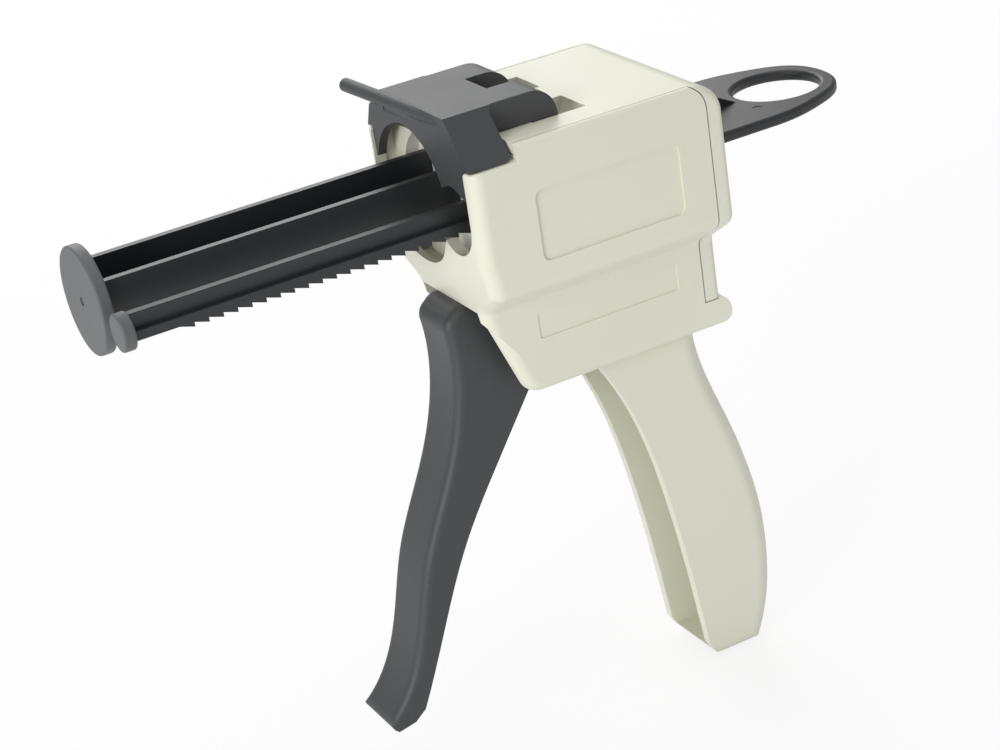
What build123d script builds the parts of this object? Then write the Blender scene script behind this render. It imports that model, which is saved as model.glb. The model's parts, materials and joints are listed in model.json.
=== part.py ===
"""Two-cartridge dispensing gun, in millimetres.

X runs from the push discs back to the pull loop, so paste is pushed towards -X.
Y runs across, with the small rod on the -Y side. Z is up.
The origin is where the large rod's axis crosses the front plane of the housing.
"""

import os
from math import atan2, cos, tan

from build123d import *

# Driving dimensions of the two cartridges the gun takes
large_opening_radius = 17.4
small_opening_radius = 8.4
small_rod_y = -21.3
small_rod_z = -1.2
flange_slot = 3.2

# Plunger: two rods on one pull loop, with a disc on the front of each rod
large_disc_radius = 13.0
small_disc_radius = 4.5
disc_thickness = 3.0
disc_edge_round = 0.5
disc_socket = 1.6
gate_mark_radius = 1.1
gate_mark_depth = 0.3
socket_gap = 0.05
plunger_reach = 83.9
rod_flange_spread = 8.1
rod_flange_thickness = 1.9
rod_flange_height = 13.1
rod_web_thickness = 2.8
small_rib_thickness = 2.0
small_rib_top = 4.0
rack_width = 5.4
rack_top = 0.2
rack_tip = -3.1
tooth_depth = 1.1
tooth_pitch = 3.5
tooth_start = 10.4
rack_end_x = 59.1
loop_gap = 1.0
loop_half_width = 19.4
loop_tip_x = 115.6
loop_shoulder_x = 88.0
loop_hole_x = 100.6
loop_hole_length = 22.6
loop_hole_width = 21.2
loop_hole_y = -6.8
loop_edge_round = 0.9
loop_marks = ((93.2, -15.0), (88.1, -16.8))
loop_mark_radius = 1.2
loop_mark_depth = 0.12
gusset_start_x = 74.0
gusset_end_x = 87.0

# Housing outline
body_mid_y = -6.2
body_width = 54.4
lower_width = 33.0
top_z = 16.5
waist_z = -26.0
wing_rise = 7.0
wing_run = 10.7
bottom_z = -50.5
rear_x = 68.2
seam_x = 63.8
shelf_x = 71.0
shelf_top_z = -42.4
wall = 2.6
front_wall = 3.0
front_bottom_x = 2.8
front_bottom_z = -25.8
front_bend_z = -10.0
chin_x = 12.5
front_edge_round = 3.5
rear_top_round = 7.5
seam_round = 7.0
seam_turn_z = 10.6
seam_turn_angle = 70
wing_round = 4.0
waist_round = 3.0
bottom_round = 3.0
chin_round = 6.0
top_edge_round = 1.8
bay_edge_round = 0.8
shelf_bulge = 2.4
cover_plate = 2.6
cover_lip = 1.8
cover_lip_wall = 1.6
fit_gap = 0.2
seam_gap = 0.35

# Cartridge bay
strip = 3.7
bay_top_z = 12.5
bay_wall = 3.6
bay_floor_z = -18.0
bay_floor = 2.0
disc_pocket_gap = 1.0
cross_wall = 2.6
cross_opening_y = (-26.5, 11.5)
cross_opening_z = (-12.0, 9.0)

# Handle, part of the housing
grip_root_x = 33.5
grip_width = 21.2
grip_wall = 2.6
grip_floor = 3.0
grip_round = 5.0
heel_round = 4.0
lever_opening_rear_x = 34.5

# Recessed panels
panel_depth = 0.5
panel_x = (15.6, 54.8)
panel_z = (-13.1, 4.5)
panel_round = 2.0
plate_depth = 0.25
plate_x = (17.1, 56.6)
plate_z = (-36.6, -29.8)
plate_round = 0.8

# Rod guide
guide_thickness = 2.4
guide_bottom_z = -14.8
guide_top_z = 9.6
guide_width = 42.6
rod_clearance = 0.35
cover_clearance = 0.6

# Cartridge lock
lock_top_z = 23.8
lock_width = 32.4
lock_ear_width = 51.6
lock_ear_z = 12.9
lock_ear_x = 12.0
lock_ear_round = 1.5
lock_ear_cove = 2.0
lock_ear_gap = 0.8
lock_edge_round = 0.6
lock_skin = 2.4
lock_front_x = 0.6
ear_shoulder = 2.6
ear_shoulder_z = 18.6
lock_plate = 2.3
lock_plate_bottom_z = 5.6
lock_side_gap = 0.3
lock_hinge_x = 26.9
lock_hinge_z = 11.6
lock_rear_x = 30.4
lock_rear_round = 6.8
lock_cover_gap = 0.35
notch_front_x = 18.2
notch_width = 10.8
knuckle_radius = 3.3
lug_width = 2.6
slot_floor_front_x = 32.0
slot_floor = 1.3
slot_gap = 0.35
lock_opening = 65
lip_radius = 1.7
lip_web_inset = 0.3
lip_near = (2.5, 22.0)
lip_far = (-1.5, 22.6)
lip_near_y = -22.0
lip_far_y = 24.0
lip_root_y = 9.0
lip_foot_z = 18.5
cove_radius = 2.0
cove_near = (-1.7, 19.7)
cove_far = (-1.2, 19.6)

# Pins
pin_gap = 0.05
lock_pin_radius = 1.5
pivot_pin_radius = 2.0
pivot_pin_skin = 1.2
pawl_pin_radius = 1.6
release_pin_radius = 1.5
release_pin_head = 0.8
release_pin_head_radius = 2.4

# Trigger lever
lever_width = 16.4
pivot_x = 23.5
pivot_z = -28.0
hub_radius = 6.6
hub_bore_gap = 0.5
boss_radius = 5.0
boss_height = 2.0
bush_flange = 1.0
bush_flange_radius = 4.6
bush_radius = 3.2
bush_length = 7.0
side_gap = 0.2
lever_skin = 2.8
lever_edge_round = 2.4
lever_brow_round = 4.0
lever_tip_round = 1.6
lever_rib = 1.6
lever_ribs = 5
lever_channel_top_z = -50.0
lever_channel_bottom_z = -123.0
arm_width = 3.8
arm_end_radius = 3.6
return_pad = 11.0

# Drive pawl, on the lever's arm
pawl_pin_x = 27.2
pawl_pin_z = -13.8
pawl_width = 4.2
pawl_hub_radius = 3.2
pawl_nose_x = 20.6
pawl_tooth_gap = 0.8
clip_thickness = 0.6
clip_radius = 3.0
pawl_spring_wire = 0.2
pawl_spring_turns = 2.5

# Release lever, on the rear cover
release_x = 57.0
release_z = -13.5
release_hub_radius = 3.4
release_pitches = 8
release_lug = 1.8
release_lug_reach = 4.6
release_lug_near_y = -26.4
release_lug_far_y = 2.8
tab_width = 12.0
tab_thickness = 2.7
tab_end_x = 77.6
tab_slot_z = (-15.6, -9.2)
tab_side_gap = 0.6
release_pad_z = -11.4
release_seat_z = -18.8
release_seat = 1.8
release_seat_front_x = 47.0

# Coil springs: wire radius, coil radius, turns
return_spring_wire = 0.55
return_spring_radius = 3.4
return_spring_turns = 7.5
return_spring_z = -42.0
return_pad_x = 26.6
return_rib_x = 46.0
return_rib = 2.6
return_rib_top_z = -34.0
release_spring_wire = 0.3
release_spring_radius = 2.0
release_spring_turns = 5.5
release_spring_x = 50.9
spring_gap = 0.05
spigot_gap = 0.35
spigot_length = 2.5

# Places worked out from the values above
near_y = body_mid_y - body_width / 2
far_y = body_mid_y + body_width / 2
lower_near_y = body_mid_y - lower_width / 2
lower_far_y = body_mid_y + lower_width / 2
inner_near_y = lower_near_y + wall
inner_far_y = lower_far_y - wall
slope = atan2(wing_rise, wing_run)
wing_bottom_z = waist_z + (body_width - lower_width) / 2 * wing_rise / wing_run
rod_front_x = disc_thickness - disc_socket + socket_gap - plunger_reach
disc_back_x = disc_thickness - plunger_reach
rack_x = disc_back_x + tooth_start
tooth_count = int((rack_end_x - rack_x) / tooth_pitch)
loop_root_x = rear_x + loop_gap
bay_wall_x = front_wall + flange_slot
guide_x = bay_wall_x + bay_wall
cross_x = guide_x + guide_thickness + 2 * pin_gap
cross_back_x = cross_x + cross_wall
cover_inner_z = top_z - cover_plate
cover_front_x = lock_ear_x + lock_ear_gap
cover_inner_x = rear_x - wall
rack_tip_z = small_rod_z + rack_tip
rack_root_z = rack_tip_z + tooth_depth
pawl_near_y = small_rod_y - pawl_width / 2
pawl_far_y = small_rod_y + pawl_width / 2
nose_z = rack_tip_z - pawl_tooth_gap
release_nose_x = pawl_nose_x + release_pitches * tooth_pitch
hub_near_y = inner_near_y + boss_height + side_gap + bush_flange
hub_far_y = inner_far_y - boss_height - side_gap - bush_flange
arm_far_y = hub_near_y + arm_width
lever_far_y = body_mid_y + lever_width / 2
grip_near_y = body_mid_y - grip_width / 2
grip_far_y = body_mid_y + grip_width / 2
lock_near_y = body_mid_y - lock_width / 2
lock_far_y = body_mid_y + lock_width / 2
notch_near_y = body_mid_y - notch_width / 2
notch_far_y = body_mid_y + notch_width / 2
knuckle_top_z = top_z + lock_cover_gap
release_hub_near_y = release_lug_near_y + release_lug + side_gap
release_hub_far_y = release_lug_far_y - release_lug - side_gap
open_lock = Location((lock_hinge_x, 0, lock_hinge_z)) * Location((0, 0, 0), (0, lock_opening, 0))
rear_round_x = lock_rear_x - lock_rear_round - lock_hinge_x
rear_round_z = lock_top_z - lock_rear_round - lock_hinge_z
scoop_x, _, scoop_z = (open_lock * Location((rear_round_x, 0, rear_round_z))).position
scoop_radius = lock_rear_round + slot_gap
# how far a cut runs past a surface, how far a joined shape runs into the next, and well clear
past = 1.0
weld = 0.5
beyond = 20.0

# Side view of the lever: front edge from brow to tip, rear edge from tip to hub
lever_front = [
    (-3.1, -31.5),
    (-2.8, -45.2),
    (-8.6, -66.5),
    (-18.8, -89.2),
    (-26.9, -115.7),
    (-31.0, -122.6),
    (-34.3, -126.2),
]
lever_rear = [
    (-25.6, -126.4),
    (-19.7, -113.6),
    (-6.6, -85.4),
    (4.6, -68.4),
    (16.4, -51.8),
    (24.8, -40.0),
]
lever_tip = [(-35.4, -128.2), (-33.6, -129.8), (-28.8, -128.9)]
lever_brow = [(0.8, -25.8), (-3.3, -29.2)]

# Side view of the handle: front edge and rear edge, from the housing down
grip_front = [
    (35.8, -53.8),
    (44.2, -72.4),
    (49.8, -95.2),
    (53.5, -118.0),
    (56.3, -140.6),
]
grip_rear = [
    (64.2, -49.0),
    (66.8, -66.1),
    (71.4, -79.4),
    (75.7, -93.7),
    (78.5, -108.5),
    (78.9, -122.0),
    (77.7, -133.0),
    (75.6, -140.6),
]
grip_heel = [(72.6, -144.9), (66.4, -146.0), (60.0, -144.9)]


def side(y):
    """The plane of the side view at a place across: x to the right, z up, extruding towards -Y."""
    return Plane.XZ.offset(-y)


def across(x):
    """The plane of the section at a place along: y to the right, z up, extruding towards +X."""
    return Plane.YZ.offset(x)


def section_points(inset, top, bottom):
    """Corners of the housing's section, drawn in by a wall, from one top value to one bottom value."""
    wing_z = wing_bottom_z + inset / cos(slope) - inset * tan(slope)
    neck_z = wing_z - (body_width - lower_width) / 2 * tan(slope)
    return [
        (near_y + inset, top),
        (near_y + inset, wing_z),
        (lower_near_y + inset, neck_z),
        (lower_near_y + inset, bottom),
        (lower_far_y - inset, bottom),
        (lower_far_y - inset, neck_z),
        (far_y - inset, wing_z),
        (far_y - inset, top),
    ]


def straight(edges, axis, x=None, y=None, z=None):
    """The straight edges along an axis whose middles lie at the given places."""

    def wanted(edge):
        middle = edge.center()
        places = ((middle.X, x), (middle.Y, y), (middle.Z, z))
        return all(value is None or abs(place - value) < 0.05 for place, value in places)

    return edges.filter_by(axis).filter_by(wanted)


def block(x, y, z, mode=Mode.ADD):
    """A block from its lowest to its highest corner, each axis given as a pair."""
    with Locations(((x[0] + x[1]) / 2, (y[0] + y[1]) / 2, (z[0] + z[1]) / 2)):
        Box(x[1] - x[0], y[1] - y[0], z[1] - z[0], mode=mode)


def prism(points, near, far, mode=Mode.ADD):
    """A straight-sided piece with its outline in the side view, from one place across to another."""
    with BuildSketch(side(far)) as outline:
        with BuildLine():
            Polyline(*points, close=True)
        make_face()
    extrude(outline.sketch, amount=far - near, mode=mode)


def duct(points, front, rear, mode=Mode.ADD):
    """A straight-sided piece with its outline in the section, from one place along to another."""
    with BuildSketch(across(front)) as outline:
        with BuildLine():
            Polyline(*points, close=True)
        make_face()
    extrude(outline.sketch, amount=rear - front, mode=mode)


def drum(x, z, radius, near, far, mode=Mode.ADD):
    """A cylinder lying across, from one place across to another."""
    with Locations(Location((x, (near + far) / 2, z), (90, 0, 0))):
        Cylinder(radius, far - near, mode=mode)


def post(x, y, z, radius, length, mode=Mode.ADD):
    """A cylinder lying along, from one place towards +X."""
    with Locations(Location((x + length / 2, y, z), (0, 90, 0))):
        Cylinder(radius, length, mode=mode)


def recess(x, z, y, depth, corner):
    """A shallow recess with round corners in a side face at a place across, cut towards +Y."""
    with BuildSketch(side(y + depth)) as outline:
        with Locations(((x[0] + x[1]) / 2, (z[0] + z[1]) / 2)):
            RectangleRounded(x[1] - x[0], z[1] - z[0], corner)
    extrude(outline.sketch, amount=depth + past, mode=Mode.SUBTRACT)


def cover_share(gap):
    """The share of the outline that belongs to the cover, larger by a gap on its parting faces."""
    with BuildPart() as share:
        with BuildSketch(side(far_y + past)):
            with BuildLine():
                upright = Line((seam_x - gap, shelf_top_z - gap), (seam_x - gap, seam_turn_z))
                turn = JernArc(upright @ 1, (0, 1), seam_round, seam_turn_angle)
                Polyline(
                    turn @ 1,
                    ((turn @ 1).X, top_z + beyond),
                    (seam_x + beyond, top_z + beyond),
                    (seam_x + beyond, shelf_top_z - gap),
                    upright @ 0,
                )
            make_face()
        extrude(amount=body_width + 2 * past)
        # the top plate between the body's walls
        block(
            (cover_front_x - gap, seam_x),
            (near_y + wall - gap, far_y - wall + gap),
            (cover_inner_z - gap, top_z + beyond),
        )
    return share.part


def rod_outline(gap):
    """Both rods' section on the current sketch, with room all round."""
    with Locations((0, -rod_web_thickness / 2)):
        Rectangle(2 * rod_flange_spread, rod_web_thickness + 2 * gap)
    with Locations((-rod_flange_spread, 0), (rod_flange_spread, 0)):
        Rectangle(rod_flange_thickness + 2 * gap, rod_flange_height + 2 * gap)
    with Locations((small_rod_y, small_rod_z + (small_rib_top + rack_top) / 2)):
        Rectangle(small_rib_thickness + 2 * gap, small_rib_top - rack_top + 2 * gap)
    with Locations((small_rod_y, small_rod_z + (rack_top + rack_tip) / 2)):
        Rectangle(rack_width + 2 * gap, rack_top - rack_tip + 2 * gap)


def rod_hole(gap, front, rear):
    """A hole through the current part with both rods' outline."""
    with BuildSketch(across(front)) as outline:
        rod_outline(gap)
    extrude(outline.sketch, amount=rear - front, mode=Mode.SUBTRACT)


def coil(radius, wire, length, turns):
    """One open coil along +Z from the origin, as one unbroken tube."""
    rise = length - 2 * wire
    with BuildPart() as spring:
        with BuildLine() as path:
            Helix(pitch=rise / turns, height=rise, radius=radius)
        with BuildSketch(Plane(origin=path.line @ 0, z_dir=path.line % 0)):
            Circle(wire)
        sweep(path=path.line)
    print(f"coil of radius {radius}: least gap between turns {rise / turns - 2 * wire:.2f} mm")
    return spring.part.moved(Location((0, 0, wire)))


# Outline of the housing and its cover together
with BuildPart() as envelope:
    with BuildSketch(side(far_y)):
        with BuildLine():
            shelf_end_x = shelf_x - shelf_bulge
            outline = Polyline(
                (shelf_end_x, bottom_z),
                (chin_x, bottom_z),
                (4.8, -30.5),
                (3.2, -28.4),
                (front_bottom_x, front_bottom_z),
                (0, front_bend_z),
                (0, top_z),
                (rear_x, top_z),
                (rear_x, shelf_top_z),
                (shelf_end_x, shelf_top_z),
            )
            shelf_middle_z = (shelf_top_z + bottom_z) / 2
            ThreePointArc(outline @ 1, (shelf_x, shelf_middle_z), outline @ 0)
        make_face()
    extrude(amount=body_width)
    with BuildSketch(across(-past)):
        with BuildLine():
            Polyline(*section_points(0, top_z, bottom_z), close=True)
        make_face()
    extrude(amount=shelf_x + 2 * past, mode=Mode.INTERSECT)
    fillet(straight(envelope.edges(), Axis.Y, x=rear_x, z=top_z), rear_top_round)
    fillet(straight(envelope.edges(), Axis.X, y=near_y, z=wing_bottom_z), wing_round)
    fillet(straight(envelope.edges(), Axis.X, y=far_y, z=wing_bottom_z), wing_round)
    fillet(straight(envelope.edges(), Axis.X, y=lower_near_y, z=waist_z), waist_round)
    fillet(straight(envelope.edges(), Axis.X, y=lower_far_y, z=waist_z), waist_round)
    fillet(straight(envelope.edges(), Axis.Y, x=chin_x, z=bottom_z), chin_round)
    fillet(straight(envelope.edges(), Axis.X, z=bottom_z), bottom_round)
    front_edges = [
        edge
        for edge in envelope.edges()
        if edge.center().X < front_bottom_x and abs(edge.center().Y - body_mid_y) > past
    ]
    fillet(front_edges, front_edge_round)
    fillet(straight(envelope.edges(), Axis.X, z=top_z), top_edge_round)

# The hollow inside the cover, round at its top rear corner
with BuildPart() as cover_hollow:
    duct(section_points(wall, cover_inner_z, bottom_z - past), cross_back_x, cover_inner_x)
    fillet(
        straight(cover_hollow.edges(), Axis.Y, x=cover_inner_x, z=cover_inner_z),
        rear_top_round - wall,
    )

# The handle, before it joins the housing
with BuildPart() as grip:
    with BuildSketch(side(grip_far_y)):
        with BuildLine():
            front_edge = Spline(*grip_front)
            rear_edge = Spline(*grip_rear)
            Spline(rear_edge @ 1, *grip_heel, front_edge @ 1, tangents=((-0.5, -1), (-0.5, 1)))
            Polyline(
                front_edge @ 0,
                (grip_root_x, bottom_z),
                (grip_root_x, (rear_edge @ 0).Y),
                rear_edge @ 0,
            )
        make_face()
    extrude(amount=grip_width)
    back_edges = [
        edge
        for edge in grip.edges()
        if edge.center().X > 68 and edge.center().Z < -60 and edge.bounding_box().size.Y < 0.1
    ]
    fillet(back_edges, grip_round)
    # the heel is round across as well
    with BuildSketch(across(grip_root_x)):
        with Locations((body_mid_y, bottom_z)):
            RectangleRounded(grip_width, 2 * (bottom_z - grip_heel[1][1]), heel_round)
    extrude(amount=3 * beyond, mode=Mode.INTERSECT)

# The handle's channel, open at the front and closed by a floor at the bottom
with BuildPart() as grip_hollow:
    with BuildSketch(side(grip_far_y - grip_wall)):
        with BuildLine():
            hollow_rear = Spline(*[(x - grip_wall, z) for x, z in grip_rear])
            hollow_heel_z = grip_heel[1][1] + grip_floor
            Polyline(
                hollow_rear @ 1,
                (grip_heel[0][0] - grip_wall, hollow_heel_z),
                (30, hollow_heel_z),
                (30, grip_rear[0][1]),
                hollow_rear @ 0,
            )
        make_face()
    extrude(amount=grip_width - 2 * grip_wall)

# Cream moulded body with the cartridge bay, the mechanism's space and the handle
with BuildPart() as housing_body:
    add(envelope.part)
    add(cover_share(seam_gap), mode=Mode.SUBTRACT)
    # the long hollow behind the bay, open at its top and rear
    duct(
        section_points(wall, top_z + beyond, shelf_top_z),
        cross_back_x,
        shelf_x + beyond,
        Mode.SUBTRACT,
    )
    block(
        (cross_back_x, seam_x - wall),
        (inner_near_y, inner_far_y),
        (bottom_z + wall, shelf_top_z + past),
        Mode.SUBTRACT,
    )
    # the bay's sides are lower than the cover, for the lock's ears
    block((-past, cover_front_x), (near_y - past, far_y + past), (bay_top_z, top_z + beyond), Mode.SUBTRACT)
    near_rim = straight(housing_body.edges(), Axis.X, y=near_y, z=bay_top_z)
    far_rim = straight(housing_body.edges(), Axis.X, y=far_y, z=bay_top_z)
    fillet(near_rim + far_rim, bay_edge_round)
    # slot for the cartridge flanges, open at the top
    duct(
        section_points(wall, top_z + beyond, bay_floor_z),
        front_wall,
        bay_wall_x,
        Mode.SUBTRACT,
    )
    # front openings, closed below by the two round lobes
    block(
        (-past, front_wall),
        (near_y + strip, large_opening_radius),
        (small_rod_z, top_z + beyond),
        Mode.SUBTRACT,
    )
    post(-past, 0, 0, large_opening_radius, front_wall + past, Mode.SUBTRACT)
    post(-past, small_rod_y, small_rod_z, small_opening_radius, front_wall + past, Mode.SUBTRACT)
    # pockets for the pulled-back discs, the guide's slot and the opening behind it
    post(bay_wall_x - past, 0, 0, large_disc_radius + disc_pocket_gap, bay_wall + past, Mode.SUBTRACT)
    post(
        bay_wall_x - past,
        small_rod_y,
        small_rod_z,
        small_disc_radius + disc_pocket_gap,
        bay_wall + past,
        Mode.SUBTRACT,
    )
    block(
        (guide_x, cross_x),
        (body_mid_y - guide_width / 2 - fit_gap, body_mid_y + guide_width / 2 + fit_gap),
        (guide_bottom_z, top_z + beyond),
        Mode.SUBTRACT,
    )
    block((cross_x - past, cross_back_x + past), cross_opening_y, cross_opening_z, Mode.SUBTRACT)
    # the lever's way out, between the lower side walls
    block(
        (-past, lever_opening_rear_x),
        (inner_near_y, inner_far_y),
        (bottom_z - past, front_bottom_z),
        Mode.SUBTRACT,
    )
    block(
        (front_bottom_x + wall, cross_back_x + past),
        (inner_near_y, inner_far_y),
        (front_bottom_z - past, bay_floor_z - bay_floor),
        Mode.SUBTRACT,
    )
    # handle
    add(grip.part)
    add(grip_hollow.part, mode=Mode.SUBTRACT)
    block(
        (grip_root_x, seam_x - wall),
        (inner_near_y, inner_far_y),
        (bottom_z, bottom_z + wall),
    )
    block(
        (lever_opening_rear_x, seam_x - wall),
        (grip_near_y - past, grip_far_y + past),
        (bottom_z + wall, bottom_z + wall + 3),
        Mode.SUBTRACT,
    )
    # bosses and holes for the lever's pin
    drum(pivot_x, pivot_z, boss_radius, lower_near_y + 0.2, inner_near_y + boss_height)
    drum(pivot_x, pivot_z, boss_radius, inner_far_y - boss_height, lower_far_y - 0.2)
    drum(
        pivot_x,
        pivot_z,
        pivot_pin_radius,
        lower_near_y + pivot_pin_skin,
        lower_far_y + past,
        Mode.SUBTRACT,
    )
    # cross rib that the return spring pushes on, with its spigot
    block(
        (return_rib_x, return_rib_x + return_rib),
        (inner_near_y - weld, inner_far_y + weld),
        (bottom_z + wall - weld, return_rib_top_z),
    )
    post(
        return_rib_x - spigot_length,
        body_mid_y,
        return_spring_z,
        return_spring_radius - return_spring_wire - spigot_gap,
        spigot_length + weld,
    )
    # recessed panel and plate, both bare
    recess(panel_x, panel_z, near_y, panel_depth, panel_round)
    recess(plate_x, plate_z, lower_near_y, plate_depth, plate_round)

# Round shells under the slots behind the knuckles, before the open lock's room is cut out
with BuildPart() as slot_shells:
    slots = (
        (lock_near_y - slot_gap, notch_near_y + slot_gap),
        (notch_far_y - slot_gap, lock_far_y + slot_gap),
    )
    for near, far in slots:
        drum(scoop_x, scoop_z, scoop_radius + slot_floor, near - slot_floor, far + slot_floor)
    block(
        (slot_floor_front_x, scoop_x + scoop_radius + slot_floor),
        (near_y, far_y),
        (scoop_z - scoop_radius - slot_floor, cover_inner_z + weld),
        Mode.INTERSECT,
    )

# Cream cover: top plate and rear wall in one, with lugs for two of the pins
with BuildPart() as rear_cover:
    add(envelope.part)
    add(cover_share(0), mode=Mode.INTERSECT)
    add(cover_hollow.part, mode=Mode.SUBTRACT)
    # upright lip inside the body's rear opening
    for y in (inner_near_y + fit_gap, inner_far_y - fit_gap - cover_lip_wall):
        block(
            (seam_x - cover_lip, cover_inner_x + weld),
            (y, y + cover_lip_wall),
            (shelf_top_z + fit_gap, wing_bottom_z - 6),
        )
    for y in (near_y + wall + fit_gap, far_y - wall - fit_gap - cover_lip_wall):
        block(
            (seam_x - cover_lip, cover_inner_x + weld),
            (y, y + cover_lip_wall),
            (wing_bottom_z + wall, cover_inner_z - seam_round),
        )
    # lugs for the lock's pin, beside and between the two slots
    lug_places = (slots[0][0] - lug_width, body_mid_y - lug_width / 2, slots[1][1])
    for y in lug_places:
        drum(lock_hinge_x, lock_hinge_z, knuckle_radius, y, y + lug_width)
        block(
            (lock_hinge_x - knuckle_radius, lock_hinge_x + knuckle_radius),
            (y, y + lug_width),
            (lock_hinge_z, cover_inner_z + weld),
        )
    add(slot_shells.part)
    for near, far in slots:
        block(
            (lock_hinge_x - knuckle_radius - slot_gap, scoop_x),
            (near, far),
            (cover_inner_z - past, top_z + past),
            Mode.SUBTRACT,
        )
        drum(scoop_x, scoop_z, scoop_radius, near, far, Mode.SUBTRACT)
    drum(lock_hinge_x, lock_hinge_z, lock_pin_radius, near_y, far_y, Mode.SUBTRACT)
    # lugs and spring seat for the release lever
    lug_top_z = release_z + release_lug_reach
    for y in (release_lug_near_y, release_lug_far_y - release_lug):
        drum(release_x, release_z, release_lug_reach, y, y + release_lug)
        block(
            (release_x, cover_inner_x + weld),
            (y, y + release_lug),
            (release_seat_z, lug_top_z),
        )
    block(
        (release_seat_front_x, cover_inner_x + weld),
        (release_lug_near_y, release_lug_far_y),
        (release_seat_z, release_seat_z + release_seat),
    )
    drum(release_x, release_z, release_pin_radius, near_y, far_y, Mode.SUBTRACT)
    # holes for the rods and for the release tab
    rod_hole(cover_clearance, cover_inner_x - past, rear_x + past)
    block(
        (cover_inner_x - past, rear_x + past),
        (body_mid_y - tab_width / 2 - tab_side_gap, body_mid_y + tab_width / 2 + tab_side_gap),
        tab_slot_z,
        Mode.SUBTRACT,
    )

# Slide plate that keeps both rods straight
with BuildPart() as rod_guide:
    block(
        (guide_x + pin_gap, guide_x + pin_gap + guide_thickness),
        (body_mid_y - guide_width / 2, body_mid_y + guide_width / 2),
        (guide_bottom_z, guide_top_z),
    )
    rod_hole(rod_clearance, guide_x - past, cross_x + past)

# Dark hood that holds the cartridge flanges down, hinged at its rear
with BuildPart() as cartridge_lock:
    # side ears: the far one is wider, round the large opening
    ear_near_y = body_mid_y - lock_ear_width / 2
    ear_far_y = body_mid_y + lock_ear_width / 2
    hood_section = [
        (ear_near_y, lock_ear_z),
        (lock_near_y, lock_top_z),
        (lock_far_y, lock_top_z),
        (ear_far_y - ear_shoulder, ear_shoulder_z),
        (ear_far_y, lock_ear_z),
    ]
    duct(hood_section, lock_front_x, lock_ear_x)
    fillet(straight(cartridge_lock.edges(), Axis.Y, z=lock_ear_z).sort_by(Axis.X)[-1:], lock_ear_round)
    block((lock_front_x, lock_rear_x), (lock_near_y, lock_far_y), (knuckle_top_z, lock_top_z))
    fillet(
        straight(cartridge_lock.edges(), Axis.Y, x=lock_rear_x, z=lock_top_z),
        lock_rear_round,
    )
    # coves between the ears and the hood's sides
    for y in (lock_near_y, lock_far_y):
        fillet(straight(cartridge_lock.edges(), Axis.Z, x=lock_ear_x, y=y), lock_ear_cove)
    # the hood's long edges behind the ears
    near_edges = straight(cartridge_lock.edges(), Axis.X, y=lock_near_y, z=lock_top_z)
    far_edges = straight(cartridge_lock.edges(), Axis.X, y=lock_far_y, z=lock_top_z)
    fillet(near_edges.sort_by(Axis.X)[-1:] + far_edges.sort_by(Axis.X)[-1:], lock_edge_round)
    hollow_section = [
        (ear_near_y + lock_skin, lock_ear_z - past),
        (lock_near_y + lock_skin, lock_top_z - lock_skin),
        (lock_far_y - lock_skin, lock_top_z - lock_skin),
        (ear_far_y - lock_skin, lock_ear_z - past),
    ]
    duct(hollow_section, lock_front_x + lock_plate, lock_ear_x - lock_skin, Mode.SUBTRACT)
    block(
        (lock_front_x + lock_plate, notch_front_x - lock_skin),
        (lock_near_y + lock_skin, lock_far_y - lock_skin),
        (lock_ear_z - past, lock_top_z - lock_skin),
        Mode.SUBTRACT,
    )
    # front plate with the upper halves of the openings
    block(
        (lock_front_x, lock_front_x + lock_plate),
        (near_y + strip + lock_side_gap, large_opening_radius - lock_side_gap),
        (lock_plate_bottom_z, lock_ear_z + weld),
    )
    # thumb lip, flush at the near corner and free at the far end, on a web that ends in a cove
    for (x, z), y in ((lip_near, lip_near_y), (lip_far, lip_far_y)):
        with BuildSketch(side(y)):
            with Locations((x, z)):
                Circle(lip_radius)
    loft()
    share = (lip_root_y - lip_near_y) / (lip_far_y - lip_near_y)
    lip_root = tuple(near + share * (far - near) for near, far in zip(lip_near, lip_far))
    for place, y in ((lip_near, lip_near_y), (lip_root, lip_root_y)):
        with BuildSketch(side(y)):
            with Locations(place):
                Circle(lip_radius - lip_web_inset)
            with Locations((lock_front_x + lock_plate / 2, (lip_foot_z + lock_top_z - lip_radius) / 2)):
                Rectangle(lock_plate / 2, lock_top_z - lip_radius - lip_foot_z)
            make_hull()
    loft()
    for (x, z), y in ((cove_near, lip_near_y), (cove_far, lip_root_y)):
        with BuildSketch(side(y)):
            with Locations((x, z)):
                Circle(cove_radius)
    loft(mode=Mode.SUBTRACT)
    post(-beyond, 0, 0, large_opening_radius, beyond + lock_front_x + lock_plate, Mode.SUBTRACT)
    post(
        -beyond,
        small_rod_y,
        small_rod_z,
        small_opening_radius,
        beyond + lock_front_x + lock_plate,
        Mode.SUBTRACT,
    )
    # notch between the knuckles, then the knuckles' way down to the pin
    block(
        (notch_front_x, lock_rear_x + past),
        (notch_near_y, notch_far_y),
        (knuckle_top_z - past, lock_top_z + past),
        Mode.SUBTRACT,
    )
    for near, far in ((lock_near_y, notch_near_y), (notch_far_y, lock_far_y)):
        drum(lock_hinge_x, lock_hinge_z, knuckle_radius, near, far)
        block(
            (lock_hinge_x - knuckle_radius, lock_hinge_x + knuckle_radius),
            (near, far),
            (lock_hinge_z, knuckle_top_z + past),
        )
        drum(lock_hinge_x, lock_hinge_z, lock_pin_radius + pin_gap, near, far, Mode.SUBTRACT)

# Steel pin through the lock's knuckles
with BuildPart() as lock_hinge_pin:
    drum(
        lock_hinge_x,
        lock_hinge_z,
        lock_pin_radius,
        slots[0][0] - lug_width,
        slots[1][1] + lug_width,
    )

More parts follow.
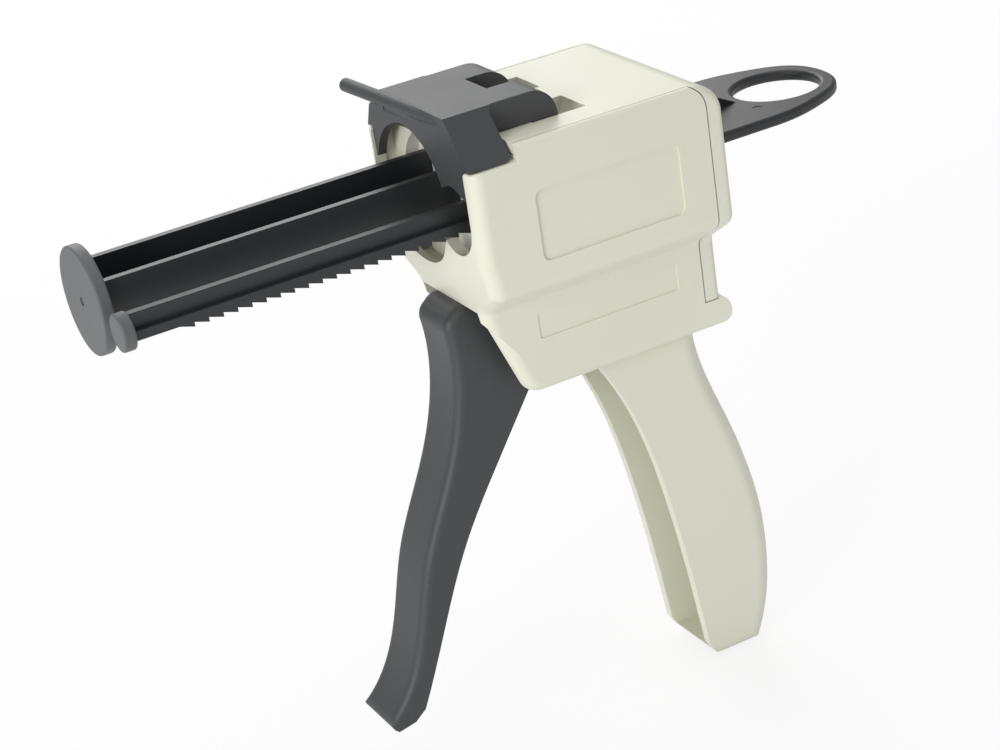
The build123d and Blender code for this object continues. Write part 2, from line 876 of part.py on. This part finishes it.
# Pull loop with round edges
with BuildPart() as pull_loop:
    with BuildSketch(Plane.XY.offset(-rod_web_thickness)):
        with BuildLine():
            root = Line(
                (loop_root_x, body_mid_y + loop_half_width),
                (loop_root_x, body_mid_y - loop_half_width),
            )
            near_side = Line(root @ 1, (loop_shoulder_x, body_mid_y - loop_half_width))
            tip = (loop_tip_x, body_mid_y)
            near_bow = Spline(near_side @ 1, (103, body_mid_y - 16.0), tip, tangents=((1, 0), (0, 1)))
            far_side = Line(root @ 0, (loop_shoulder_x, body_mid_y + loop_half_width))
            Spline(far_side @ 1, (103, body_mid_y + 16.0), tip, tangents=((1, 0), (0, -1)))
        make_face()
        with Locations((loop_hole_x, loop_hole_y)):
            Ellipse(loop_hole_length / 2, loop_hole_width / 2, mode=Mode.SUBTRACT)
    extrude(amount=rod_web_thickness)
    rims = [edge for edge in pull_loop.edges().filter_by(Plane.XY) if edge.center().X > loop_root_x + past]
    fillet(rims, loop_edge_round)

# Black moulding: both rods and the pull loop
with BuildPart() as plunger:
    with BuildSketch(across(rod_front_x)):
        rod_outline(0)
    extrude(amount=gusset_end_x - rod_front_x)
    # the rack starts behind the disc and ends before the housing
    block(
        (rod_front_x - past, gusset_end_x + past),
        (small_rod_y - rack_width, small_rod_y + rack_width),
        (rack_tip_z - past, rack_root_z),
        Mode.SUBTRACT,
    )
    with BuildSketch(side(small_rod_y + rack_width / 2)):
        with BuildLine():
            tooth_corners = [(rack_x, rack_root_z + 0.2)]
            for tooth in range(tooth_count):
                tooth_corners.append((rack_x + tooth * tooth_pitch, rack_root_z))
                tooth_corners.append((rack_x + (tooth + 1) * tooth_pitch, rack_tip_z))
            tooth_corners.append((rack_x + tooth_count * tooth_pitch, rack_root_z + 0.2))
            Polyline(*tooth_corners, close=True)
        make_face()
    extrude(amount=rack_width)
    # the small rod ends where the loop's plate starts
    block(
        (loop_root_x + past, gusset_end_x + past),
        (small_rod_y - rack_width, small_rod_y + rack_width),
        (-rod_flange_height, rod_flange_height),
        Mode.SUBTRACT,
    )
    # the upright plates slope down to the loop's plate above and below
    for corner_z in (rod_flange_height, -rod_flange_height):
        level_z = 0 if corner_z > 0 else -rod_web_thickness
        prism(
            [
                (gusset_start_x, corner_z / 2),
                (gusset_end_x, level_z),
                (gusset_end_x + past, level_z),
                (gusset_end_x + past, corner_z),
                (gusset_start_x, corner_z),
            ],
            near_y,
            far_y,
            Mode.SUBTRACT,
        )
    add(pull_loop.part)
    # marks of two ejector pins
    for place in loop_marks:
        with Locations((*place, 0)):
            Cylinder(loop_mark_radius, 2 * loop_mark_depth, mode=Mode.SUBTRACT)

# Grey discs, each with a socket for its rod's end
with BuildPart() as large_push_disc:
    post(-plunger_reach, 0, 0, large_disc_radius, disc_thickness)
    fillet(large_push_disc.edges().filter_by(GeomType.CIRCLE), disc_edge_round)
    post(-plunger_reach - past, 0, 0, gate_mark_radius, past + gate_mark_depth, Mode.SUBTRACT)
    rod_hole(socket_gap, disc_back_x - disc_socket, disc_back_x + past)

with BuildPart() as small_push_disc:
    post(-plunger_reach, small_rod_y, small_rod_z, small_disc_radius, disc_thickness)
    fillet(small_push_disc.edges().filter_by(GeomType.CIRCLE), disc_edge_round)
    rod_hole(socket_gap, disc_back_x - disc_socket, disc_back_x + past)

# Dark lever, open at its rear, with an arm for the drive pawl
with BuildPart() as trigger_lever:
    with BuildSketch(side(lever_far_y)):
        with BuildLine():
            front_edge = Spline(*lever_front)
            rear_edge = Spline(*lever_rear)
            Polyline(front_edge @ 1, *lever_tip, rear_edge @ 0)
            Polyline(
                rear_edge @ 1,
                (pivot_x + hub_radius, pivot_z),
                (pivot_x, pivot_z + 2),
                *lever_brow,
                front_edge @ 0,
            )
        make_face()
    extrude(amount=lever_width)
    corners = trigger_lever.edges().filter_by(Axis.Y)
    tip_x, tip_z = lever_tip[0]
    fillet(straight(corners, Axis.Y, x=tip_x, z=tip_z), lever_tip_round)
    for x, z in lever_brow:
        fillet(straight(trigger_lever.edges(), Axis.Y, x=x, z=z), lever_brow_round)
    long_edges = trigger_lever.edges().filter_by(GeomType.BSPLINE).sort_by(Axis.X)
    fillet(long_edges[:2], lever_edge_round)
    # rear channel in cells, with a cross rib between each two
    cells = lever_ribs + 1
    span = (lever_channel_top_z - lever_channel_bottom_z - lever_ribs * lever_rib) / cells
    for cell in range(cells):
        cell_top = lever_channel_top_z - cell * (span + lever_rib)
        with BuildSketch(side(body_mid_y + lever_width / 2 - lever_skin)):
            with BuildLine():
                shifted = Spline(*[(x + lever_skin, z) for x, z in lever_front])
                Polyline(shifted @ 1, (beyond * 2, -127.6), (beyond * 2, -31.5), shifted @ 0)
            make_face()
            with Locations((0, cell_top - span / 2)):
                Rectangle(6 * beyond, span, mode=Mode.INTERSECT)
        extrude(amount=lever_width - 2 * lever_skin, mode=Mode.SUBTRACT)
    # hub, arm and the pad that the return spring pushes on
    drum(pivot_x, pivot_z, hub_radius, hub_near_y, hub_far_y)
    drum(pawl_pin_x, pawl_pin_z, arm_end_radius, hub_near_y, arm_far_y)
    prism(
        [
            (pivot_x - hub_radius + weld, pivot_z + 1.5),
            (pawl_pin_x - arm_end_radius + 0.1, pawl_pin_z + 0.8),
            (pawl_pin_x + arm_end_radius - 0.1, pawl_pin_z - 0.8),
            (pivot_x + hub_radius - 0.3, pivot_z + 1.5),
        ],
        hub_near_y,
        arm_far_y,
    )
    block(
        (pivot_x - 6, return_pad_x),
        (body_mid_y - return_pad / 2, body_mid_y + return_pad / 2),
        (return_spring_z - return_pad / 2, pivot_z),
    )
    drum(pivot_x, pivot_z, bush_radius, hub_near_y, hub_near_y + bush_length, Mode.SUBTRACT)
    drum(pivot_x, pivot_z, bush_radius, hub_far_y - bush_length, hub_far_y, Mode.SUBTRACT)
    drum(pivot_x, pivot_z, pivot_pin_radius + hub_bore_gap, near_y, far_y, Mode.SUBTRACT)
    drum(pawl_pin_x, pawl_pin_z, pawl_pin_radius, hub_near_y, arm_far_y, Mode.SUBTRACT)

# Steel pin the lever turns on
with BuildPart() as lever_pivot_pin:
    drum(pivot_x, pivot_z, pivot_pin_radius, lower_near_y + pivot_pin_skin, lower_far_y - 0.4)

# Two flanged bushes between the lever's hub and its pin
with BuildPart() as lever_pivot_bushes:
    drum(pivot_x, pivot_z, bush_flange_radius, hub_near_y - bush_flange, hub_near_y)
    drum(pivot_x, pivot_z, bush_radius, hub_near_y, hub_near_y + bush_length - pin_gap)
    drum(pivot_x, pivot_z, bush_flange_radius, hub_far_y, hub_far_y + bush_flange)
    drum(pivot_x, pivot_z, bush_radius, hub_far_y - bush_length + pin_gap, hub_far_y)
    drum(pivot_x, pivot_z, pivot_pin_radius + pin_gap, near_y, far_y, Mode.SUBTRACT)

# Steel pawl that pushes the rack forward
with BuildPart() as drive_pawl:
    drum(pawl_pin_x, pawl_pin_z, pawl_hub_radius, pawl_near_y, pawl_far_y)
    prism(
        [
            (pawl_nose_x, nose_z),
            (pawl_nose_x, nose_z - 2.6),
            (pawl_pin_x - 2.6, pawl_pin_z - 1.8),
            (pawl_pin_x + 2.4, pawl_pin_z + 2.1),
            (pawl_nose_x + 1.6, nose_z - 0.3),
        ],
        pawl_near_y,
        pawl_far_y,
    )
    drum(pawl_pin_x, pawl_pin_z, pawl_pin_radius + pin_gap, near_y, far_y, Mode.SUBTRACT)

# Steel pin that carries the drive pawl on the lever's arm
with BuildPart() as drive_pawl_pin:
    clip_y = pawl_near_y - side_gap - clip_thickness
    drum(pawl_pin_x, pawl_pin_z, pawl_pin_radius, clip_y - clip_thickness, arm_far_y)

# Retaining clip on the drive pawl's pin
with BuildPart() as drive_pawl_clip:
    drum(pawl_pin_x, pawl_pin_z, clip_radius, clip_y, clip_y + clip_thickness)
    drum(pawl_pin_x, pawl_pin_z, pawl_pin_radius, near_y, far_y, Mode.SUBTRACT)
    # the clip opens downwards
    block(
        (pawl_pin_x - 0.8, pawl_pin_x + 0.8),
        (clip_y - past, clip_y + past),
        (pawl_pin_z - clip_radius - past, pawl_pin_z),
        Mode.SUBTRACT,
    )

# Wound spring that lifts the drive pawl's nose
with BuildPart() as drive_pawl_spring:
    spring_length = hub_near_y - pawl_far_y - 2 * side_gap
    pawl_coil = coil(
        pawl_pin_radius + pawl_spring_wire + 0.15,
        pawl_spring_wire,
        spring_length,
        pawl_spring_turns,
    )
    add(pawl_coil.moved(Location((pawl_pin_x, hub_near_y - side_gap, pawl_pin_z), (90, 0, 0))))

# Coil spring that pushes the lever forward again
with BuildPart() as lever_return_spring:
    return_coil = coil(
        return_spring_radius,
        return_spring_wire,
        return_rib_x - return_pad_x - 2 * spring_gap,
        return_spring_turns,
    )
    coil_start = (return_pad_x + spring_gap, body_mid_y, return_spring_z)
    add(return_coil.moved(Location(coil_start, (0, 90, 0))))

# Retaining pawl with its thumb tab, in one piece
with BuildPart() as release_lever:
    drum(release_x, release_z, release_hub_radius, release_hub_near_y, release_hub_far_y)
    prism(
        [
            (release_nose_x, nose_z),
            (release_nose_x, release_pad_z),
            (release_x, release_pad_z),
            (release_x + 2.4, release_z + 2.1),
            (release_nose_x + 1.6, nose_z - 0.3),
        ],
        pawl_near_y,
        pawl_far_y,
    )
    block(
        (release_x, tab_end_x),
        (body_mid_y - tab_width / 2, body_mid_y + tab_width / 2),
        (release_z - tab_thickness / 2, release_z + tab_thickness / 2),
    )
    fillet(straight(release_lever.edges(), Axis.Z, x=tab_end_x), 3.0)
    drum(release_x, release_z, release_pin_radius + pin_gap, near_y, far_y, Mode.SUBTRACT)

# Steel pin the release lever turns on, with a head at its far end
with BuildPart() as release_pin:
    release_clip_y = release_lug_near_y - side_gap - clip_thickness
    drum(
        release_x,
        release_z,
        release_pin_radius,
        release_clip_y - clip_thickness,
        release_lug_far_y + release_pin_head,
    )
    drum(
        release_x,
        release_z,
        release_pin_head_radius,
        release_lug_far_y,
        release_lug_far_y + release_pin_head,
    )

# Retaining clip on the release lever's pin
with BuildPart() as release_clip:
    drum(release_x, release_z, clip_radius, release_clip_y, release_clip_y + clip_thickness)
    drum(release_x, release_z, release_pin_radius, near_y, far_y, Mode.SUBTRACT)
    # the clip opens downwards
    block(
        (release_x - 0.8, release_x + 0.8),
        (release_clip_y - past, release_clip_y + past),
        (release_z - clip_radius - past, release_z),
        Mode.SUBTRACT,
    )

# Coil spring that lifts the retaining pawl
with BuildPart() as release_spring:
    seat_top_z = release_seat_z + release_seat
    release_coil = coil(
        release_spring_radius,
        release_spring_wire,
        release_pad_z - seat_top_z - 2 * spring_gap,
        release_spring_turns,
    )
    add(release_coil.moved(Location((release_spring_x, small_rod_y, seat_top_z + spring_gap))))

nodes = {
    "housing_body": housing_body,
    "rear_cover": rear_cover,
    "rod_guide": rod_guide,
    "cartridge_lock": cartridge_lock,
    "lock_hinge_pin": lock_hinge_pin,
    "plunger": plunger,
    "large_push_disc": large_push_disc,
    "small_push_disc": small_push_disc,
    "trigger_lever": trigger_lever,
    "lever_pivot_pin": lever_pivot_pin,
    "lever_pivot_bushes": lever_pivot_bushes,
    "drive_pawl": drive_pawl,
    "drive_pawl_pin": drive_pawl_pin,
    "drive_pawl_clip": drive_pawl_clip,
    "drive_pawl_spring": drive_pawl_spring,
    "lever_return_spring": lever_return_spring,
    "release_lever": release_lever,
    "release_pin": release_pin,
    "release_clip": release_clip,
    "release_spring": release_spring,
}

os.makedirs("parts", exist_ok=True)
for name, node in nodes.items():
    node.part.label = name
    export_step(node.part, f"parts/{name}.step")
    box = node.part.bounding_box()
    print(
        f"{name}: solids {len(node.part.solids())}, valid {node.part.is_valid},",
        f"x {box.min.X:.2f}..{box.max.X:.2f} y {box.min.Y:.2f}..{box.max.Y:.2f}",
        f"z {box.min.Z:.2f}..{box.max.Z:.2f}",
    )
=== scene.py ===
"""Looks of a two-cartridge dispensing gun, in metres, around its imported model."""

import json
from math import cos, radians, sin

import bpy
from mathutils import Matrix, Vector


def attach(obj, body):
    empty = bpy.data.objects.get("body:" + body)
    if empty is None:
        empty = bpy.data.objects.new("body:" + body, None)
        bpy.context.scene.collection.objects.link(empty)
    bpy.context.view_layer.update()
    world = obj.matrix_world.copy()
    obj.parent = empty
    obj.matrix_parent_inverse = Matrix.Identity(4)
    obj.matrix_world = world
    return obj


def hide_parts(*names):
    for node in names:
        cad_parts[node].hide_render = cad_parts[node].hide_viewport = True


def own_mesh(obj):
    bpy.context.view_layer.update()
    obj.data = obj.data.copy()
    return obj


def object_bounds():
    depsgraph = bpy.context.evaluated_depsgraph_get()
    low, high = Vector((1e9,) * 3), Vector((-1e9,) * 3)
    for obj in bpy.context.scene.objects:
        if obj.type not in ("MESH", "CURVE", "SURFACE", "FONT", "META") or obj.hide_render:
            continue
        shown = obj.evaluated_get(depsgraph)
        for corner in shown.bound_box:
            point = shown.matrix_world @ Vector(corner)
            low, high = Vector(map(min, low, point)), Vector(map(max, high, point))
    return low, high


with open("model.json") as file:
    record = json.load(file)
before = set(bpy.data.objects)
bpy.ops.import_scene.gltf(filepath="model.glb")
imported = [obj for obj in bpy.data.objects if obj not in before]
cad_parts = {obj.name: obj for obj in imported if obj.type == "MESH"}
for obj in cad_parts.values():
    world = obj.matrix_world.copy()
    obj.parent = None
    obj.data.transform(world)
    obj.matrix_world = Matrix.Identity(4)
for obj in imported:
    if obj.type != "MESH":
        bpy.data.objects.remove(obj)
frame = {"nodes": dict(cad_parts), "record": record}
cad_low, cad_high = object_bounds()

# Camera, as it stood for the photograph
camera_azimuth = radians(-25.51)
camera_elevation = radians(24.41)
camera_roll = radians(-8.92)
camera_target = Vector((0.01577, 0.0, -0.05322))
camera_distance = 0.6213
camera_lens = 90.02
camera_near_clip = 0.01
sensor_width = 36.0

# Floor and room
floor_drop = 0.0005
floor_half = 3.0
floor_white = 0.95
floor_roughness = 0.9
floor_shadow_share = 0.2
floor_fade_from = 0.35
floor_fade_to = 0.95
room_strength = 0.48

# Lamps: where each stands, its width, its watts and the point that it looks at
lamps = {
    "overhead": ((0.0, 0.1, 1.0), 1.0, 2.9, (0, 0, -0.05)),
    "behind": ((0.3, 1.3, 0.65), 1.1, 8.8, (0, 0, -0.02)),
    "left": ((-1.13, -0.62, 0.3), 0.6, 9.0, (0, 0, -0.05)),
}

# Mould grain: the coarser grain's share, its scale against the fine one's, and how rough each is
usual_grain = 3000.0
coarse_share = 0.3
coarse_to_fine = 0.28
fine_detail = 3.0
coarse_detail = 2.0

# Clouds of tone and sheen from handling
cloud_scale = 28.0
cloud_detail = 4.0

# Drawn steel: its fine marks, the change of sheen that they bring and their depth
mark_scale = 900.0
mark_detail = 3.0
mark_smoother = 0.1
mark_rougher = 0.12
mark_depth = 0.00001

# Plastics: two near colours, sheen and its spread, grain per metre and its depth, and gloss
plastics = {
    "cream_plastic": {
        "colour": (0.78, 0.775, 0.66),
        "shade": (0.735, 0.73, 0.605),
        "roughness": 0.42,
        "spread": 0.06,
        "grain": 3200.0,
        "depth": 0.00002,
        "gloss": 0.5,
    },
    "dark_plastic": {
        "colour": (0.053, 0.0555, 0.058),
        "shade": (0.045, 0.0475, 0.05),
        "roughness": 0.5,
        "spread": 0.05,
        "grain": 2400.0,
        "depth": 0.00008,
        "gloss": 0.5,
    },
    "black_plastic": {
        "colour": (0.018, 0.0195, 0.0222),
        "shade": (0.0135, 0.015, 0.0175),
        "roughness": 0.42,
        "spread": 0.05,
        "grain": 3000.0,
        "depth": 0.00003,
        "gloss": 0.6,
    },
    "grey_plastic": {
        "colour": (0.118, 0.121, 0.129),
        "shade": (0.104, 0.107, 0.114),
        "roughness": 0.5,
        "spread": 0.05,
        "grain": 3000.0,
        "depth": 0.00004,
        "gloss": 0.5,
    },
    "white_plastic": {
        "colour": (0.76, 0.76, 0.73),
        "shade": (0.72, 0.72, 0.7),
        "roughness": 0.4,
        "spread": 0.05,
        "grain": 3000.0,
        "depth": 0.00002,
        "gloss": 0.5,
    },
}

# Steels: colour, sheen and how much closer the marks lie along each axis
steels = {
    "steel": {"colour": (0.58, 0.58, 0.6), "roughness": 0.3, "stretch": (1.0, 12.0, 1.0)},
    "spring_steel": {"colour": (0.42, 0.42, 0.44), "roughness": 0.34, "stretch": (3.0, 3.0, 3.0)},
}


def shader_tree(name):
    """A new material with only a Principled BSDF and its output."""
    material = bpy.data.materials.new(name)
    material.use_nodes = True
    tree = material.node_tree
    tree.nodes.clear()
    surface = tree.nodes.new("ShaderNodeBsdfPrincipled")
    surface.location = (300, 0)
    output = tree.nodes.new("ShaderNodeOutputMaterial")
    output.location = (600, 0)
    tree.links.new(surface.outputs["BSDF"], output.inputs["Surface"])
    return material, tree, surface


def new_group(name, inputs, output):
    """A shader node group with the given float inputs and one float output."""
    group = bpy.data.node_groups.new(name, "ShaderNodeTree")
    for label, default in inputs.items():
        socket = group.interface.new_socket(label, in_out="INPUT", socket_type="NodeSocketFloat")
        socket.default_value = default
    group.interface.new_socket(output, in_out="OUTPUT", socket_type="NodeSocketFloat")
    return group, group.nodes.new("NodeGroupInput"), group.nodes.new("NodeGroupOutput")


def mould_grain_group():
    """Spark-etched mould surface: a fine even grain with a coarser one under it, as a height."""
    inputs = {"Grain": usual_grain, "Coarse Share": coarse_share}
    group, taken, given = new_group("mould_grain", inputs, "Height")
    place = group.nodes.new("ShaderNodeTexCoord")
    fine = group.nodes.new("ShaderNodeTexNoise")
    fine.inputs["Detail"].default_value = fine_detail
    coarse_scale = group.nodes.new("ShaderNodeMath")
    coarse_scale.operation = "MULTIPLY"
    coarse_scale.inputs[1].default_value = coarse_to_fine
    coarse = group.nodes.new("ShaderNodeTexNoise")
    coarse.inputs["Detail"].default_value = coarse_detail
    blend = group.nodes.new("ShaderNodeMix")
    blend.data_type = "FLOAT"
    link = group.links.new
    link(place.outputs["Object"], fine.inputs["Vector"])
    link(place.outputs["Object"], coarse.inputs["Vector"])
    link(taken.outputs["Grain"], fine.inputs["Scale"])
    link(taken.outputs["Grain"], coarse_scale.inputs[0])
    link(coarse_scale.outputs[0], coarse.inputs["Scale"])
    link(taken.outputs["Coarse Share"], blend.inputs["Factor"])
    link(fine.outputs["Fac"], blend.inputs["A"])
    link(coarse.outputs["Fac"], blend.inputs["B"])
    link(blend.outputs["Result"], given.inputs["Height"])
    return group


def handling_group():
    """Slow cloudy change over a part from handling and moulding, from 0 to 1."""
    group, taken, given = new_group("handling", {"Cloud Scale": cloud_scale}, "Cloud")
    place = group.nodes.new("ShaderNodeTexCoord")
    cloud = group.nodes.new("ShaderNodeTexNoise")
    cloud.inputs["Detail"].default_value = cloud_detail
    link = group.links.new
    link(place.outputs["Object"], cloud.inputs["Vector"])
    link(taken.outputs["Cloud Scale"], cloud.inputs["Scale"])
    link(cloud.outputs["Fac"], given.inputs["Cloud"])
    return group


mould_grain = mould_grain_group()
handling = handling_group()


def moulded_plastic(name, colour, shade, roughness, spread, grain, depth, gloss):
    """Injection-moulded plastic: two near colours in soft clouds, uneven sheen, a mould grain."""
    material, tree, surface = shader_tree(name)
    link = tree.links.new
    touched = tree.nodes.new("ShaderNodeGroup")
    touched.node_tree = handling
    tint = tree.nodes.new("ShaderNodeMix")
    tint.data_type = "RGBA"
    tint.inputs["A"].default_value = (*colour, 1)
    tint.inputs["B"].default_value = (*shade, 1)
    link(touched.outputs["Cloud"], tint.inputs["Factor"])
    link(tint.outputs["Result"], surface.inputs["Base Color"])
    sheen = tree.nodes.new("ShaderNodeMapRange")
    sheen.inputs["To Min"].default_value = roughness - spread
    sheen.inputs["To Max"].default_value = roughness + spread
    link(touched.outputs["Cloud"], sheen.inputs["Value"])
    link(sheen.outputs["Result"], surface.inputs["Roughness"])
    etched = tree.nodes.new("ShaderNodeGroup")
    etched.node_tree = mould_grain
    etched.inputs["Grain"].default_value = grain
    bump = tree.nodes.new("ShaderNodeBump")
    bump.inputs["Strength"].default_value = 1.0
    bump.inputs["Distance"].default_value = depth
    link(etched.outputs["Height"], bump.inputs["Height"])
    link(bump.outputs["Normal"], surface.inputs["Normal"])
    surface.inputs["Specular IOR Level"].default_value = gloss
    return material


def drawn_steel(name, colour, roughness, stretch):
    """Bright steel with fine marks from drawing and grinding."""
    material, tree, surface = shader_tree(name)
    link = tree.links.new
    place = tree.nodes.new("ShaderNodeTexCoord")
    squeeze = tree.nodes.new("ShaderNodeMapping")
    squeeze.inputs["Scale"].default_value = stretch
    marks = tree.nodes.new("ShaderNodeTexNoise")
    marks.inputs["Scale"].default_value = mark_scale
    marks.inputs["Detail"].default_value = mark_detail
    link(place.outputs["Object"], squeeze.inputs["Vector"])
    link(squeeze.outputs["Vector"], marks.inputs["Vector"])
    sheen = tree.nodes.new("ShaderNodeMapRange")
    sheen.inputs["To Min"].default_value = roughness - mark_smoother
    sheen.inputs["To Max"].default_value = roughness + mark_rougher
    link(marks.outputs["Fac"], sheen.inputs["Value"])
    link(sheen.outputs["Result"], surface.inputs["Roughness"])
    bump = tree.nodes.new("ShaderNodeBump")
    bump.inputs["Distance"].default_value = mark_depth
    link(marks.outputs["Fac"], bump.inputs["Height"])
    link(bump.outputs["Normal"], surface.inputs["Normal"])
    surface.inputs["Base Color"].default_value = (*colour, 1)
    surface.inputs["Metallic"].default_value = 1.0
    return material


finishes = {name: moulded_plastic(name, **look) for name, look in plastics.items()}
finishes.update({name: drawn_steel(name, **look) for name, look in steels.items()})


def finish_cad_nodes():
    """Gives each CAD node the finish of its slot in the record."""
    for subpart in frame["record"]["subparts"]:
        node = frame["nodes"][subpart["node"]]
        if not node.data.materials:
            node.data.materials.append(None)
        for index in range(len(node.data.materials)):
            node.data.materials[index] = finishes[subpart["material_slot"]]


def coil_that_gives(node):
    """A coil spring in place of a CAD node, copied from its mesh, smooth-shaded and fixed to the
    frame.
    """
    source = frame["nodes"][node]
    spring = bpy.data.objects.new(node + "_coil", source.data.copy())
    bpy.context.collection.objects.link(spring)
    for face in spring.data.polygons:
        face.use_smooth = True
    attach(spring, "frame")
    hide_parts(node)
    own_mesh(spring)


def place_camera():
    """The camera stands on a sphere round its target and is rolled about its own line of sight."""
    back = Vector(
        (
            sin(camera_azimuth) * cos(camera_elevation),
            -cos(camera_azimuth) * cos(camera_elevation),
            sin(camera_elevation),
        )
    )
    level = (-back).cross(Vector((0, 0, 1))).normalized()
    upright = level.cross(-back)
    right = cos(camera_roll) * level + sin(camera_roll) * upright
    up = cos(camera_roll) * upright - sin(camera_roll) * level
    data = bpy.data.cameras.new("photo_camera")
    data.lens = camera_lens
    data.sensor_width = sensor_width
    data.clip_start = camera_near_clip
    camera = bpy.data.objects.new("photo_camera", data)
    bpy.context.collection.objects.link(camera)
    turned = Matrix((right, up, back)).transposed().to_4x4()
    camera.matrix_world = Matrix.Translation(camera_target + back * camera_distance) @ turned
    bpy.context.scene.camera = camera


def soft_lamp(name, place, size, power, aim):
    """A square soft box at a place, turned towards a point."""
    data = bpy.data.lights.new(name, "AREA")
    data.size = size
    data.energy = power
    lamp = bpy.data.objects.new(name, data)
    lamp.location = place
    lamp.rotation_mode = "QUATERNION"
    lamp.rotation_quaternion = (Vector(aim) - Vector(place)).to_track_quat("-Z", "Y")
    bpy.context.collection.objects.link(lamp)


def whitening(tree):
    """How far the floor turns plain white, from a share near the gun to the whole far from it."""
    place = tree.nodes.new("ShaderNodeTexCoord")
    reach = tree.nodes.new("ShaderNodeVectorMath")
    reach.operation = "LENGTH"
    fade = tree.nodes.new("ShaderNodeMapRange")
    fade.inputs["From Min"].default_value = floor_fade_from
    fade.inputs["From Max"].default_value = floor_fade_to
    fade.inputs["To Min"].default_value = 1 - floor_shadow_share
    fade.inputs["To Max"].default_value = 1.0
    tree.links.new(place.outputs["Object"], reach.inputs[0])
    tree.links.new(reach.outputs["Value"], fade.inputs["Value"])
    return fade.outputs["Result"]


def white_to_camera(tree, look, share=None):
    """Mixes a look with plain white for the camera's own rays, wholly or by a share from 0 to 1."""
    paths = tree.nodes.new("ShaderNodeLightPath")
    amount = paths.outputs["Is Camera Ray"]
    if share is not None:
        part = tree.nodes.new("ShaderNodeMath")
        part.operation = "MULTIPLY"
        tree.links.new(amount, part.inputs[0])
        tree.links.new(share, part.inputs[1])
        amount = part.outputs[0]
    white = tree.nodes.new("ShaderNodeEmission")
    mix = tree.nodes.new("ShaderNodeMixShader")
    tree.links.new(amount, mix.inputs["Fac"])
    tree.links.new(look, mix.inputs[1])
    tree.links.new(white.outputs[0], mix.inputs[2])
    return mix.outputs[0]


def lay_floor():
    """A white floor just under the gun that takes its shadow softly."""
    floor_z = cad_low.z - floor_drop
    mesh = bpy.data.meshes.new("floor")
    corners = [
        (-floor_half, -floor_half, floor_z),
        (floor_half, -floor_half, floor_z),
        (floor_half, floor_half, floor_z),
        (-floor_half, floor_half, floor_z),
    ]
    mesh.from_pydata(corners, [], [(0, 1, 2, 3)])
    floor = bpy.data.objects.new("floor", mesh)
    bpy.context.collection.objects.link(floor)
    material, tree, surface = shader_tree("floor_white")
    surface.inputs["Base Color"].default_value = (floor_white, floor_white, floor_white, 1)
    surface.inputs["Roughness"].default_value = floor_roughness
    output = next(node for node in tree.nodes if node.type == "OUTPUT_MATERIAL")
    seen = white_to_camera(tree, surface.outputs["BSDF"], whitening(tree))
    tree.links.new(seen, output.inputs["Surface"])
    mesh.materials.append(material)


def set_studio():
    """White room: even light from all round, and the soft boxes."""
    world = bpy.data.worlds.new("studio")
    world.use_nodes = True
    bpy.context.scene.world = world
    tree = world.node_tree
    tree.nodes.clear()
    room = tree.nodes.new("ShaderNodeBackground")
    room.inputs["Strength"].default_value = room_strength
    room.inputs["Color"].default_value = (1, 1, 1, 1)
    output = tree.nodes.new("ShaderNodeOutputWorld")
    tree.links.new(white_to_camera(tree, room.outputs[0]), output.inputs["Surface"])

    for name, (place, size, power, aim) in lamps.items():
        soft_lamp(name, place, size, power, aim)


finish_cad_nodes()
coil_that_gives("lever_return_spring")
coil_that_gives("release_spring")
place_camera()
lay_floor()
set_studio()
bpy.context.scene.view_settings.view_transform = "Standard"
